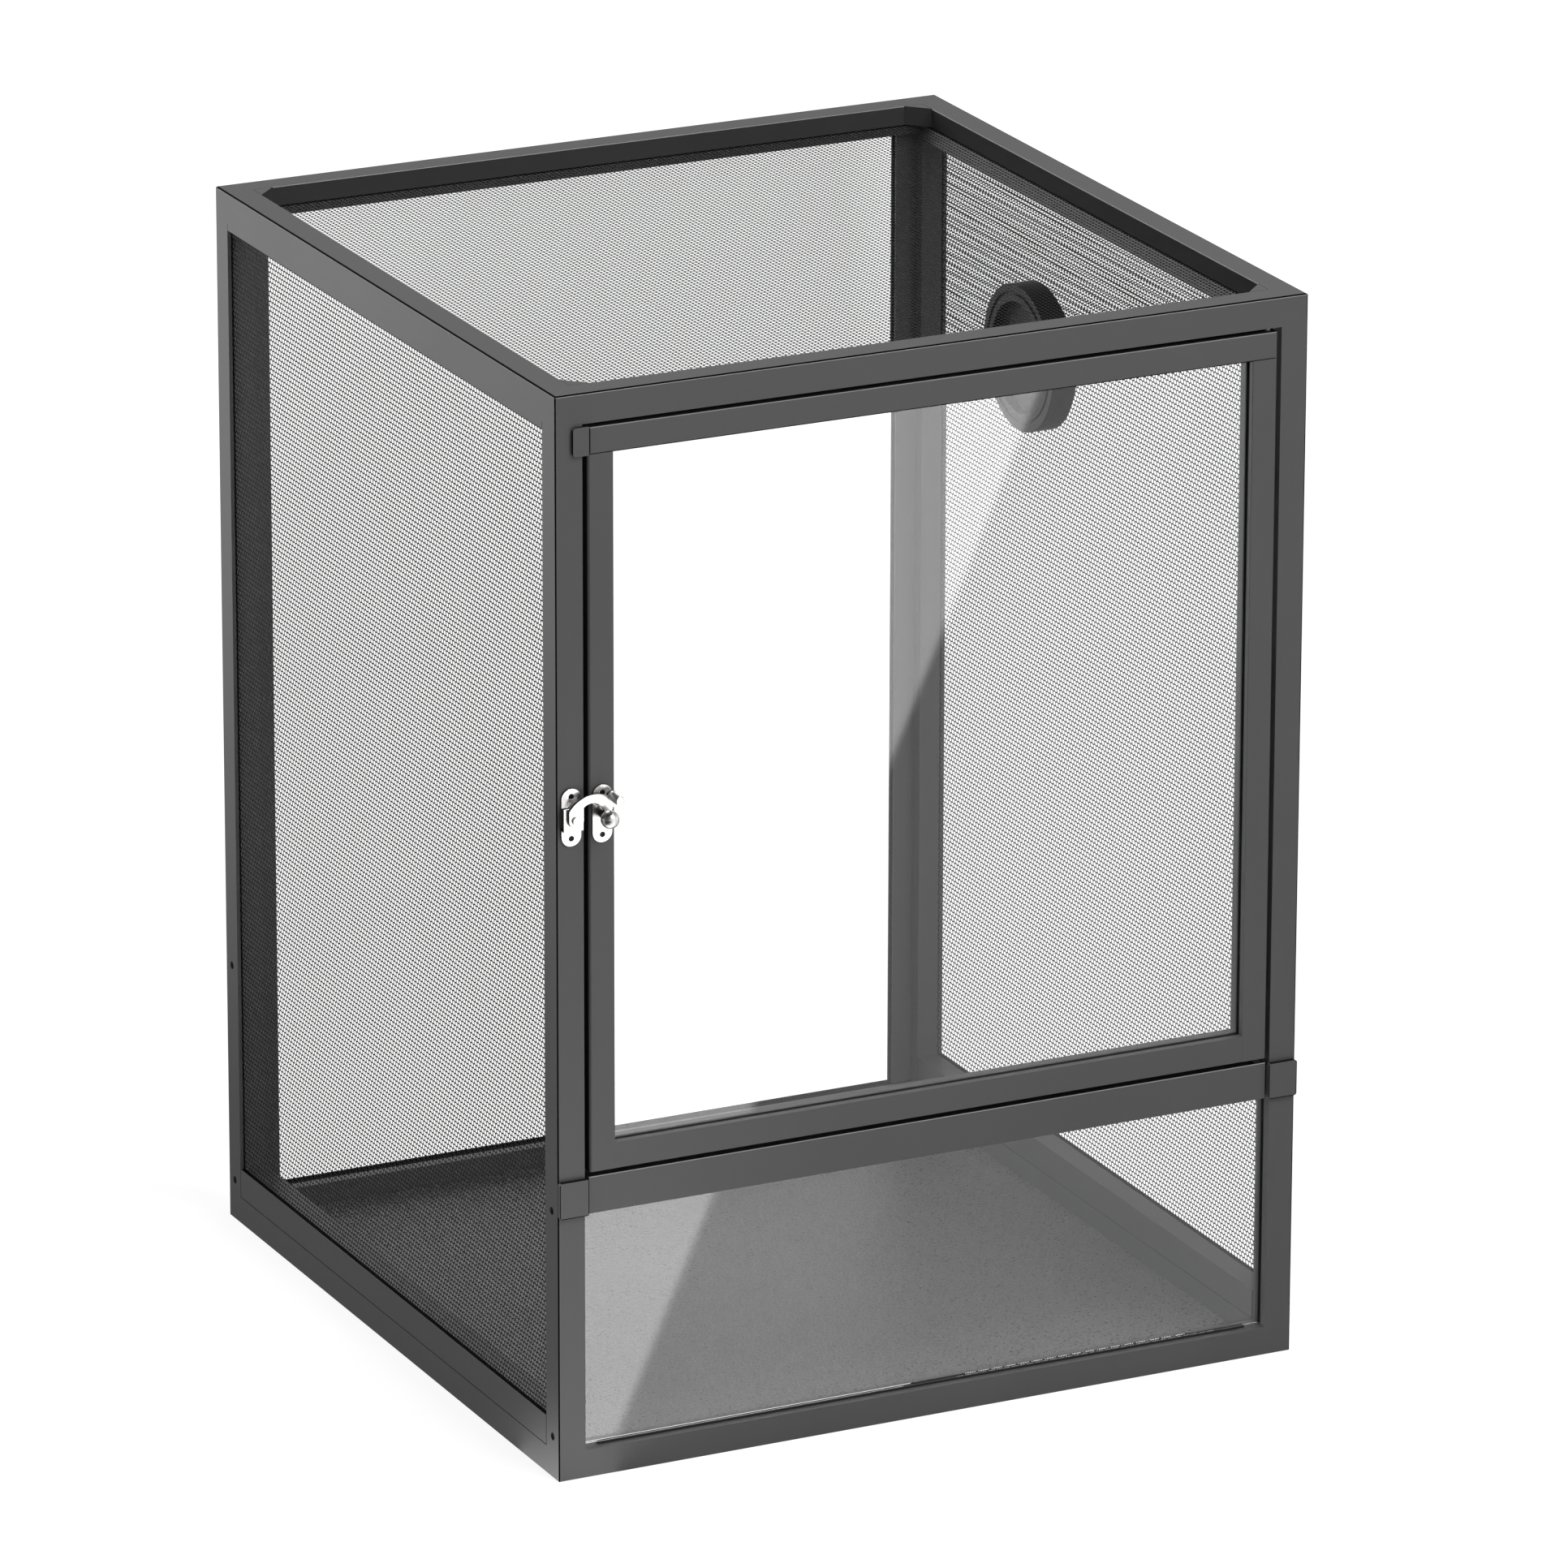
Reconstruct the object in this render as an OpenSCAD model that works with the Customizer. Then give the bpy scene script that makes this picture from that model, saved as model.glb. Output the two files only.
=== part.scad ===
// Tall screen cage for reptiles, in millimetres.
// The origin lies on the floor under the middle of the whole outline: +X right, +Y back, +Z up.
// The door faces -Y. It hangs on two pins at its right and a swing hook holds it at its left.

/* [Cage] */
// Outer width
cage_w = 450; // [380:5:600]
// Outer depth
cage_d = 450; // [380:5:600]
// Outer height
cage_h = 615; // [540:5:800]

/* [Frame] */
// Side of the square profile of posts and base rails
profile = 16; // [15:0.5:20]
// Side of the hollow core of the posts
post_core = 6; // [3:0.5:6]
// Shift of the core towards the post's outer corner
core_shift = 0.6; // [0:0.1:1]
// Height of the crown rails
crown_h = 12; // [10:0.5:18]
// Height of the left and right headers under the crown
side_header_h = 10; // [8:0.5:16]
// Height of the front and back headers
header_h = 5; // [4.5:0.5:8]
// Height of the left and right sills on the base rails
sill_h = 17.3; // [10:0.1:30]
// Leg of the gussets in the corners of the crown
gusset_leg = 12; // [6:0.5:16]
// Height of the floor panel above the ground
floor_z = 1.2; // [1:0.1:3]
// Thickness of the floor panel
floor_t = 2.5; // [1.5:0.1:4]
// Depth of the floor panel in the base rails
floor_bite = 5; // [3:0.5:8]

/* [Side holes] */
// Radius of the fastening holes in the outer side faces
side_hole_r = 2.25; // [1.5:0.05:2.5]
// Height of the lower pair of holes
side_hole_z = 24; // [20:1:40]
// Distance between the two pairs
side_hole_rise = 131; // [60:1:200]

/* [Mesh] */
// Thickness of the perforated sheet
mesh_t = 0.8; // [0.6:0.1:1.2]
// Distance from the outer side face to the sheet
mesh_inset = 2.3; // [1.6:0.1:2.6]
// Depth of the sheet in its slots
mesh_bite = 4; // [2:0.5:5]
// Distance between neighbouring gaps of the sheet
mesh_pitch = 32; // [30:1:60]
// Web between neighbouring gaps
mesh_web = 6.8; // [3:0.1:12]

/* [Panes] */
// Thickness of the panes
pane_t = 4; // [3:0.5:4.5]
// Depth of the panes in their slots
pane_bite = 4; // [2.5:0.5:4.5]
// Thickness of the edge seals
seal_t = 0.6; // [0.4:0.1:0.8]
// Distance from the front plane to the lower pane
lower_pane_in = 5.9; // [4:0.1:7]
// Thickness of the strip under the lower pane
rest_t = 1.2; // [0.8:0.1:2.5]
// Distance of that strip's ends from the posts
rest_short = 10; // [2:1:20]
// Width of the channels at the back posts
channel_w = 12.5; // [8:0.5:18]
// Depth of the channels at the back posts
channel_d = 7.5; // [7.5:0.5:12]
// Depth of the pane groove in the back header
header_groove = 3; // [1.5:0.5:3.5]

/* [Crossbar] */
// Height of the crossbar's underside
bar_z = 153; // [120:1:220]
// Height of the crossbar's section
bar_h = 21; // [16:0.5:30]
// Wall of the crossbar's section
bar_wall = 1.5; // [1:0.1:2]
// Gap between each end of the crossbar and its connector
bar_end_gap = 1.1; // [0.5:0.1:2]
// How far the connector plates stand out of the front plane
plate_t = 2.8; // [1.5:0.1:4]
// Height of the connector plates
plate_h = 20.7; // [15:0.1:29]
// Corner radius of the connector plates
plate_r = 1.5; // [0.5:0.1:3]
// Thickness of the flange against the post
flange_t = 1.4; // [1:0.1:2]
// Length of the tongue inside the crossbar
tongue_l = 18; // [14:1:30]

/* [Door] */
// Gap between the door and each post
door_side_gap = 2.7; // [2.4:0.1:4]
// Gap above the door
door_top_gap = 2; // [1:0.1:4]
// Gap below the door
door_low_gap = 3; // [1.5:0.1:5]
// How far the door stands out of the front plane
door_proud = 0.8; // [0:0.1:1.4]
// Width of the door's rails and stiles
stile_w = 15; // [13:0.5:20]
// Depth of the door's rails and stiles
door_t = 16; // [15:0.5:20]
// Radius of the door's outer vertical edges
door_r = 1.5; // [1:0.1:2.5]
// Distance from the door's face to its pane
door_pane_in = 4.6; // [3:0.1:7]

/* [Hinge] */
// Radius of the hinge pins
pin_r = 2; // [1.5:0.1:2]
// Distance of the pins' axis from the door's right edge
pin_in = 4; // [3.6:0.1:4.4]
// Distance of the pins' axis behind the front plane
pin_back = 4.5; // [4:0.1:5]
// Depth of the pins in the door
pin_depth = 12; // [8:1:14]
// Depth of the lower pin in the crossbar
pin_root = 13; // [8:1:18]
// Outer radius of the washer that carries the door
washer_r = 3.8; // [3:0.1:4.4]

/* [Door end cap] */
// Width of the cap
cap_w = 10; // [6:0.5:12]
// How far the cap stands out of the door's face
cap_t = 1.4; // [0.8:0.1:2.5]
// How far the cap laps over the door's end
cap_lap = 1; // [0.5:0.1:2]
// How far the cap rises above the door
cap_rise = 1; // [0:0.1:1.5]
// Corner radius of the cap
cap_r = 2; // [0.5:0.1:3]
// Length of the cap's plug in the top rail
plug_l = 8; // [4:0.5:9]
// Side of the cap's square plug
plug_w = 9; // [6:0.5:10]

/* [Latch] */
// Height of the latch's centre
latch_z = 380.6; // [330:0.1:420]
// Width of the two latch plates
latch_w = 11.6; // [10:0.1:13]
// Length of the two latch plates
latch_l = 32.4; // [28:0.1:40]
// Thickness of the two latch plates
latch_t = 1.2; // [0.8:0.1:1.6]
// Distance between the two screws of a plate
latch_screw_gap = 23.6; // [20:0.1:26]
// Radius of the latch screws
screw_r = 1.5; // [1:0.1:1.8]
// Length of the latch screws
screw_l = 7; // [5:0.5:9]
// How deep the screws sit below the plates' faces
screw_sink = 0.5; // [0.2:0.1:0.7]
// Height of the raised bridge in the base plate
bridge_h = 13; // [10:0.5:16]
// How far the bridge stands out of the front plane
bridge_out = 4.1; // [3.6:0.1:5]
// Shift of the base plate towards the door, from the middle of the post
latch_shift = 0.3; // [0:0.1:1]
// Shift of the pivot towards the door, from the middle of the base plate
pivot_shift = 0.8; // [0:0.1:1.5]
// Distance of the pivot and the stud below the plates' middles
pivot_drop = 0.5; // [0:0.1:1.5]
// Radius of the pivot rivet
rivet_r = 1.5; // [1:0.1:2]
// Length of the rivet's tail behind the bridge
rivet_tail = 0.8; // [0.5:0.1:1]
// Radius of the rivet's head
rivet_head_r = 2.6; // [2.2:0.1:3.2]
// Thickness of the rivet's head
rivet_head_t = 1; // [0.6:0.1:1.6]
// Thickness of the hook
arm_t = 1.9; // [1.4:0.1:2.2]
// Width of the hook at its crest
arm_w = 4.7; // [3.5:0.1:5.5]
// Radius of the hook's eye
eye_r = 4.4; // [3.6:0.1:5]
// Radius of the hook's inner curve
hook_r = 7.3; // [6:0.1:8]
// Shift of the inner curve back towards the eye
hook_back = 1.5; // [0.5:0.1:2]
// Height of the inner curve's centre above the pivot
hook_rise = 1.3; // [0.5:0.1:2]
// Radius of the hook's outer curve
crest_r = 18; // [14:0.5:20]
// Shift of the outer curve's centre towards the nose, from that of the inner curve
crest_shift = 1.3; // [0.5:0.1:2]
// Radius of the hook's nose
nose_r = 3; // [2.4:0.1:3.4]
// Distance of the nose beyond the stud
nose_out = 1.4; // [1:0.1:2]
// Radius of the thumb knob
knob_r = 2.75; // [2:0.05:3.2]
// Length of the thumb knob
knob_l = 9.5; // [6:0.5:14]
// Radius of the knob's stem in the hook
stem_r = 1; // [0.8:0.1:1.2]
// Distance of the knob beyond the stud
knob_side = 4.2; // [3.8:0.1:4.6]
// Height of the knob above the stud
knob_rise = 10.8; // [10:0.1:11.5]
// Radius of the ball stud's ball
ball_r = 5.1; // [4:0.1:5.5]
// Radius of the ball stud's neck
neck_r = 2; // [1.5:0.1:2.2]
// Depth of the stud in the door
stud_root = 4; // [3:0.5:6]

/* [Port] */
// Distance of the port's axis from the back plane
port_in = 141.5; // [120:0.5:170]
// Distance of the port's axis below the top
port_drop = 117.6; // [90:0.1:215]
// Inner radius of the port
bore_r = 32; // [25:0.5:34]
// Wall of the port's sleeve in the mesh
sleeve_wall = 3; // [2:0.5:5]
// Width of the port's rim around the sleeve
rim_w = 7.5; // [5:0.5:12]
// How far the port reaches into the cage
port_deep = 15; // [10:0.5:25]
// Width of the retaining ring outside
ring_w = 4; // [3:0.5:5]
// Thickness of the retaining ring outside
ring_t = 1.5; // [1:0.1:2.2]
// Distance of the rim's groove outside the sleeve
groove_out = 1.5; // [0.5:0.5:3]
// Width of the rim's groove
groove_w = 1.5; // [1:0.1:2]
// Depth of the rim's groove
groove_d = 1; // [0.5:0.1:2]
// Thickness of the slit membrane
membrane_t = 2; // [1:0.1:3]
// Depth of the membrane's edge in the port's wall
membrane_bite = 1.5; // [1:0.1:1.8]
// Width of the membrane's slits
slit_w = 0.6; // [0.3:0.1:1.2]
// Length of the slits from the middle, as a share of the port's inner radius
slit_share = 0.7; // [0.4:0.05:0.9]

/* [Fits] */
// Clearance of sheets, seals and tongues in their slots
slot_gap = 0.1; // [0.05:0.05:0.15]
// Clearance of the fixed pins and screws in their holes
press_gap = 0.02; // [0.01:0.01:0.04]
// Clearance of the turning pins in their bores
turn_gap = 0.05; // [0.03:0.01:0.08]
// Clearance between moving faces
run_gap = 0.3; // [0.2:0.05:0.4]

/* [Hidden] */
$fn = 64;
// The latch stands out of the front, so the cage's middle lies behind the origin
knob_out = bridge_out + slot_gap + arm_t + knob_l;
ball_out = bridge_out + slot_gap + arm_t + run_gap + 2 * ball_r;
mid_y = max(knob_out, ball_out) / 2;
front_y = mid_y - cage_d / 2;
back_y = mid_y + cage_d / 2;
// Heights
crown_z = cage_h - crown_h;
sill_top = profile + sill_h;
bar_top = bar_z + bar_h;
door_z = bar_top + door_low_gap;
door_top = crown_z - header_h - door_top_gap;
// Sheets and panes in their slots
pane_slot = pane_t + 2 * seal_t + 2 * slot_gap;
pane_slot_deep = pane_bite + seal_t + slot_gap;
back_pane_in = (channel_d - pane_t) / 2;
// Door outline
door_w = cage_w - 2 * profile - 2 * door_side_gap;
door_h = door_top - door_z;
door_x = -door_w / 2;
door_y = front_y - door_proud;
pin_x = door_w / 2 - pin_in;
pin_y = front_y + pin_back;
bar_w = cage_w - 2 * profile - 2 * flange_t - 2 * bar_end_gap;
// Latch centres
latch_x = -cage_w / 2 + profile / 2 + latch_shift;
keeper_x = door_x + stile_w / 2;
keeper_y = door_y - latch_t;
pivot_x = latch_x + pivot_shift;
pivot_z = latch_z - pivot_drop;
arm_y = front_y - bridge_out - slot_gap;
arm_face = arm_y - arm_t;
hook_x = (pivot_x + eye_r + keeper_x) / 2 - hook_back;
hook_z = pivot_z + hook_rise;
crest_z = hook_z + hook_r + arm_w - crest_r;
knob_x = keeper_x + knob_side;
knob_z = pivot_z + knob_rise;
ball_y = front_y - ball_out + ball_r;
// Rows and gaps of the mesh
mesh_row = mesh_pitch * sqrt(3) / 2;
mesh_gap_r = (mesh_pitch - mesh_web) / sqrt(3);
// Port
port_u = cage_d / 2 - port_in;
port_z = cage_h - port_drop;
sleeve_r = bore_r + sleeve_wall;
port_r = sleeve_r + rim_w;
membrane_z = mesh_t + port_deep / 2;
// Overshoot of cuts, and of the wide ones in the hook's outline
eps = 1;
far = 40;

// Puts a wall's own frame in place: x along the wall, y inwards from the outer face
module at_front() { translate([0, front_y, 0]) children(); }
module at_back() { translate([0, back_y, 0]) rotate([0, 0, 180]) children(); }
module at_left() { translate([-cage_w / 2, mid_y, 0]) rotate([0, 0, -90]) children(); }
module at_right() { translate([cage_w / 2, mid_y, 0]) rotate([0, 0, 90]) children(); }

// Box between two corners
module span(low, high) { translate(low) cube(high - low); }

// Stands a drawing in X and Z up, with its thickness from y = 0 towards the front
module stand(t) { rotate([90, 0, 0]) linear_extrude(t) children(); }

// Rectangle with four round corners, centred
module round_rect(w, h, r) {
  square([w - 2 * r, h], center = true);
  square([w, h - 2 * r], center = true);
  for (x = [-1, 1], y = [-1, 1])
    translate([x * (w / 2 - r), y * (h / 2 - r)]) circle(r);
}

// Rail of a mitred frame, of the wall's full length
module mitred_rail(l, h) {
  linear_extrude(h)
    polygon([[-l / 2, 0], [l / 2, 0], [l / 2 - profile, profile], [-l / 2 + profile, profile]]);
}

// Base rail with the groove that holds the floor panel
module base_rail(l) {
  color("dimgray") difference() {
    mitred_rail(l, profile);
    span([-l / 2, profile - floor_bite, floor_z], [l / 2, profile + eps, floor_z + floor_t + slot_gap]);
  }
}
module base_front_rail() { at_front() base_rail(cage_w); }
module base_back_rail() { at_back() base_rail(cage_w); }
module base_left_rail() { at_left() base_rail(cage_d); }
module base_right_rail() { at_right() base_rail(cage_d); }

// Bottom sheet, let into the base rails
module floor_panel() {
  half_w = cage_w / 2 - profile + floor_bite - slot_gap;
  half_d = cage_d / 2 - profile + floor_bite - slot_gap;
  color("black") translate([0, mid_y, 0])
    span([-half_w, -half_d, floor_z], [half_w, half_d, floor_z + floor_t]);
}

// Corner post in its own frame: x and y run inwards from the two outer faces
module post() {
  core_in = (profile - post_core) / 2 - core_shift;
  color("dimgray") difference() {
    span([0, 0, profile], [profile, profile, crown_z]);
    span([core_in, core_in, profile - eps], [core_in + post_core, core_in + post_core, crown_z + eps]);
    span([mesh_inset - slot_gap, profile - mesh_bite - slot_gap, profile - eps],
      [mesh_inset + mesh_t + slot_gap, profile + eps, crown_z + eps]);
    for (z = [side_hole_z, side_hole_z + side_hole_rise])
      translate([-eps, profile / 2, z]) rotate([0, 90, 0]) cylinder(r = side_hole_r, h = eps + core_in + 1);
    children();
  }
}
// Slot of the lower pane in a front post
module lower_pane_slot() {
  y = lower_pane_in - seal_t - slot_gap;
  span([profile - pane_slot_deep, y, profile - eps], [profile + eps, y + pane_slot, bar_z]);
}
module front_left_post() {
  difference() {
    translate([-cage_w / 2, front_y, 0]) post() lower_pane_slot();
    latch_screw_holes();
  }
}
module front_right_post() {
  translate([cage_w / 2, front_y, 0]) mirror([1, 0, 0]) post() lower_pane_slot();
}
module back_left_post() {
  translate([-cage_w / 2, back_y, 0]) mirror([0, 1, 0]) post();
}
module back_right_post() {
  translate([cage_w / 2, back_y, 0]) mirror([1, 0, 0]) mirror([0, 1, 0]) post();
}

// Bar between two posts, with a slot for the mesh from slot_low to slot_high
module slotted_bar(low, high, slot_low, slot_high) {
  half = cage_d / 2 - profile;
  color("dimgray") difference() {
    span([-half, 0, low], [half, profile, high]);
    span([-half - eps, mesh_inset - slot_gap, slot_low],
      [half + eps, mesh_inset + mesh_t + slot_gap, slot_high]);
  }
}
module sill() { slotted_bar(profile, sill_top, sill_top - mesh_bite, sill_top + eps); }
module left_sill() { at_left() sill(); }
module right_sill() { at_right() sill(); }
module side_header() {
  low = crown_z - side_header_h;
  slotted_bar(low, crown_z, low - eps, low + mesh_bite + slot_gap);
}
module left_header() { at_left() side_header(); }
module right_header() { at_right() side_header(); }

// Front header with the seat of the upper hinge pin
module front_header() {
  half = cage_w / 2 - profile;
  color("dimgray") difference() {
    at_front() span([-half, 0, crown_z - header_h], [half, profile, crown_z]);
    translate([pin_x, pin_y, crown_z - header_h - eps])
      cylinder(r = pin_r + press_gap, h = header_h + 2 * eps);
  }
}
// Back header with the groove of the back pane
module back_header() {
  half = cage_w / 2 - profile;
  low = crown_z - header_h;
  color("dimgray") at_back() difference() {
    span([-half, 0, low], [half, profile, crown_z]);
    span([-half - eps, back_pane_in - slot_gap, low - eps],
      [half + eps, back_pane_in + pane_t + slot_gap, low + header_groove]);
  }
}

// Crown rail with the rebate that traps the top mesh
module crown_rail(l) {
  color("dimgray") translate([0, 0, crown_z]) difference() {
    mitred_rail(l, crown_h);
    span([-l / 2, profile - mesh_bite - slot_gap, -eps], [l / 2, profile + eps, mesh_t + slot_gap]);
  }
}
module crown_front_rail() { at_front() crown_rail(cage_w); }
module crown_back_rail() { at_back() crown_rail(cage_w); }
module crown_left_rail() { at_left() crown_rail(cage_d); }
module crown_right_rail() { at_right() crown_rail(cage_d); }

// Four triangular blocks in the corners of the crown, on the mesh
module crown_corner_gussets() {
  color("dimgray") for (x = [-1, 1], y = [-1, 1])
    at_crown_corner(x, y) linear_extrude(crown_h - mesh_t - slot_gap)
      polygon([[0, 0], [gusset_leg, 0], [0, gusset_leg]]);
}
// Places a corner's own frame at the crown's inner corner, x and y inwards
module at_crown_corner(x, y) {
  translate([x * (cage_w / 2 - profile), mid_y + y * (cage_d / 2 - profile), crown_z + mesh_t + slot_gap])
    mirror([x > 0 ? 1 : 0, 0, 0]) mirror([0, y > 0 ? 1 : 0, 0]) children();
}

// Staggered hexagonal gaps over a field, left out within a circle of radius keep_r at keep
module mesh_gaps(w, h, keep = [0, 0], keep_r = 0) {
  rows = floor((h - 2 * mesh_gap_r - mesh_web) / mesh_row) + 1;
  cols = floor(w / mesh_pitch);
  for (j = [0:rows - 1]) {
    n = cols - j % 2;
    for (i = [0:n - 1]) {
      p = [(i - (n - 1) / 2) * mesh_pitch, (j - (rows - 1) / 2) * mesh_row];
      if (norm(p - keep) > keep_r) translate(p) rotate(30) circle(r = mesh_gap_r, $fn = 6);
    }
  }
}
// Perforated side sheet, drawn with x along the wall and y up from the middle of the opening
module side_sheet(keep_r = 0) {
  low = sill_top;
  high = crown_z - side_header_h;
  half = cage_d / 2 - profile;
  mid = (low + high) / 2;
  color("black") translate([0, mesh_inset + mesh_t, mid]) rotate([90, 0, 0]) linear_extrude(mesh_t)
    difference() {
      translate([-half - mesh_bite, low - mesh_bite - mid])
        square([2 * (half + mesh_bite), high - low + 2 * mesh_bite]);
      mesh_gaps(2 * half, high - low, [port_u, port_z - mid], keep_r);
      if (keep_r > 0) translate([port_u, port_z - mid]) circle(r = sleeve_r + slot_gap);
    }
}
module left_mesh() { at_left() side_sheet(); }
module right_mesh() { at_right() side_sheet(port_r + mesh_gap_r); }
// Top sheet on the headers, under the crown
module top_mesh() {
  w = cage_w - 2 * profile;
  d = cage_d - 2 * profile;
  color("black") translate([0, mid_y, crown_z]) linear_extrude(mesh_t) difference() {
    square([w + 2 * mesh_bite, d + 2 * mesh_bite], center = true);
    rotate(90) mesh_gaps(d, w);
  }
}

// Channel that holds one edge of the back pane, seen from behind, at the wall's +x end
module back_channel() {
  half = cage_w / 2 - profile;
  color("dimgray") difference() {
    span([half - channel_w, 0, profile], [half, channel_d, crown_z - header_h]);
    span([half - channel_w - eps, back_pane_in - seal_t - slot_gap, profile - eps],
      [half - channel_w + pane_slot_deep, back_pane_in + pane_t + seal_t + slot_gap, crown_z]);
  }
}
module back_left_channel() { at_back() back_channel(); }
module back_right_channel() { at_back() mirror([1, 0, 0]) back_channel(); }
module back_pane() {
  half = cage_w / 2 - profile - channel_w + pane_bite;
  top = crown_z - header_h + header_groove - slot_gap;
  color("lightblue", 0.3) at_back()
    span([-half, back_pane_in, profile], [half, back_pane_in + pane_t, top]);
}
// Channel-shaped strip on the two upright edges of a pane
module edge_seals(half, pane_y, low, high) {
  color("black") for (m = [0, 1]) mirror([m, 0, 0]) difference() {
    span([half, pane_y - seal_t, low], [half + pane_bite + seal_t, pane_y + pane_t + seal_t, high]);
    span([half - eps, pane_y, low - eps], [half + pane_bite, pane_y + pane_t, high + eps]);
  }
}
module back_pane_seal() {
  at_back() edge_seals(cage_w / 2 - profile - channel_w, back_pane_in, profile, crown_z - header_h);
}

// Hollow bar under the door, with the seat of the lower hinge pin
module crossbar() {
  color("dimgray") difference() {
    at_front() span([-bar_w / 2, 0, bar_z], [bar_w / 2, profile, bar_top]);
    at_front() span([-bar_w / 2 - eps, bar_wall, bar_z + bar_wall],
      [bar_w / 2 + eps, profile - bar_wall, bar_top - bar_wall]);
    translate([pin_x, pin_y, bar_top - bar_wall - eps])
      cylinder(r = pin_r + press_gap, h = bar_wall + 2 * eps);
  }
}
// Plate on the post, flange beside the post and tongue in the crossbar, at the left end
module crossbar_connector() {
  w = profile + flange_t;
  in = bar_wall + slot_gap;
  tongue_x = w + bar_end_gap + tongue_l;
  color("dimgray") translate([-cage_w / 2, front_y, 0]) {
    translate([w / 2, 0, bar_z + plate_h / 2]) stand(plate_t) round_rect(w, plate_h, plate_r);
    span([profile, -plate_t / 2, bar_z + plate_r], [w, profile, bar_z + plate_h - plate_r]);
    span([w - flange_t / 2, in, bar_z + in], [tongue_x, profile - in, bar_top - in]);
  }
}
module left_crossbar_connector() { crossbar_connector(); }
module right_crossbar_connector() {
  difference() {
    mirror([1, 0, 0]) crossbar_connector();
    translate([pin_x, pin_y, bar_top - pin_root]) cylinder(r = pin_r + press_gap, h = pin_root + eps);
  }
}

// Pane under the crossbar, the seals on its upright edges and the strip that it stands on
module lower_pane() {
  half = cage_w / 2 - profile + pane_bite;
  color("lightblue", 0.3) at_front()
    span([-half, lower_pane_in, profile + rest_t], [half, lower_pane_in + pane_t, bar_z - slot_gap]);
}
module lower_pane_seal() {
  at_front() edge_seals(cage_w / 2 - profile, lower_pane_in, profile, bar_z - slot_gap);
}
module lower_pane_rest() {
  half = cage_w / 2 - profile - rest_short;
  color("black") at_front()
    span([-half, lower_pane_in - seal_t, profile], [half, lower_pane_in + pane_t + seal_t, profile + rest_t]);
}

// Cable and hose port in the right mesh, drawn with its axis up from the mesh's outer face inwards
module at_port() {
  translate([cage_w / 2 - mesh_inset, mid_y + port_u, port_z]) rotate([0, -90, 0]) children();
}
module port_flange() {
  rim_groove_r = sleeve_r + groove_out;
  color([0.08, 0.08, 0.08]) at_port() difference() {
    union() {
      translate([0, 0, mesh_t]) cylinder(r = port_r, h = port_deep);
      translate([0, 0, -ring_t]) cylinder(r = sleeve_r, h = ring_t + mesh_t + eps);
    }
    translate([0, 0, -ring_t - eps]) cylinder(r = bore_r, h = ring_t + mesh_t + port_deep + 2 * eps);
    translate([0, 0, membrane_z]) cylinder(r = bore_r + membrane_bite + slot_gap, h = membrane_t + slot_gap);
    translate([0, 0, mesh_t + port_deep - groove_d]) difference() {
      cylinder(r = rim_groove_r + groove_w, h = groove_d + eps);
      translate([0, 0, -eps]) cylinder(r = rim_groove_r, h = groove_d + 3 * eps);
    }
  }
}
// Rubber disc with three slits, its edge in the groove of the port's wall
module port_membrane() {
  color([0.05, 0.05, 0.05]) at_port() translate([0, 0, membrane_z]) difference() {
    cylinder(r = bore_r + membrane_bite, h = membrane_t);
    for (a = [90, 210, 330]) rotate(a)
      translate([0, -slit_w / 2, -eps]) cube([slit_share * bore_r, slit_w, membrane_t + 2 * eps]);
  }
}
module port_retaining_ring() {
  color([0.08, 0.08, 0.08]) at_port() translate([0, 0, -ring_t]) difference() {
    cylinder(r = sleeve_r + ring_w, h = ring_t);
    translate([0, 0, -eps]) cylinder(r = sleeve_r + press_gap, h = ring_t + 2 * eps);
  }
}

// Hinge pins on one axis and the washer under the door
module upper_hinge_pin() {
  color("silver") translate([pin_x, pin_y, door_top - pin_depth + slot_gap])
    cylinder(r = pin_r, h = crown_z - door_top + pin_depth - 2 * slot_gap);
}
module lower_hinge_pin() {
  color("silver") translate([pin_x, pin_y, bar_top - pin_root])
    cylinder(r = pin_r, h = pin_root + door_low_gap + pin_depth - slot_gap);
}
module hinge_washer() {
  color("gray") translate([pin_x, pin_y, bar_top]) difference() {
    cylinder(r = washer_r, h = door_low_gap - slot_gap);
    translate([0, 0, -eps]) cylinder(r = pin_r + turn_gap, h = door_low_gap + 2 * eps);
  }
}

// Door pieces, drawn from the door's lower left front corner
module at_door() { translate([door_x, door_y, door_z]) children(); }
// Groove for the pane and its seal, all round the door
module door_groove() {
  span([stile_w - pane_slot_deep, door_pane_in - seal_t - slot_gap, stile_w - pane_slot_deep],
    [door_w - stile_w + pane_slot_deep, door_pane_in + pane_t + seal_t + slot_gap,
      door_h - stile_w + pane_slot_deep]);
}
// Stile outline with its outer front edge rounded
module stile_outline() {
  translate([door_r, 0]) square([stile_w - door_r, door_t]);
  translate([0, door_r]) square([stile_w, door_t - door_r]);
  translate([door_r, door_r]) circle(door_r);
}
module door_left_stile() {
  color("dimgray") difference() {
    at_door() difference() {
      linear_extrude(door_h - stile_w) stile_outline();
      door_groove();
    }
    keeper_holes();
  }
}
module door_right_stile() {
  color("dimgray") difference() {
    at_door() difference() {
      translate([door_w, 0, 0]) mirror([1, 0, 0]) linear_extrude(door_h - stile_w) stile_outline();
      door_groove();
    }
    translate([pin_x, pin_y, door_z - eps]) cylinder(r = pin_r + turn_gap, h = pin_depth + eps);
  }
}
module door_bottom_rail() {
  color("dimgray") at_door() difference() {
    span([stile_w, 0, 0], [door_w - stile_w, door_t, stile_w]);
    door_groove();
  }
}
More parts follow.
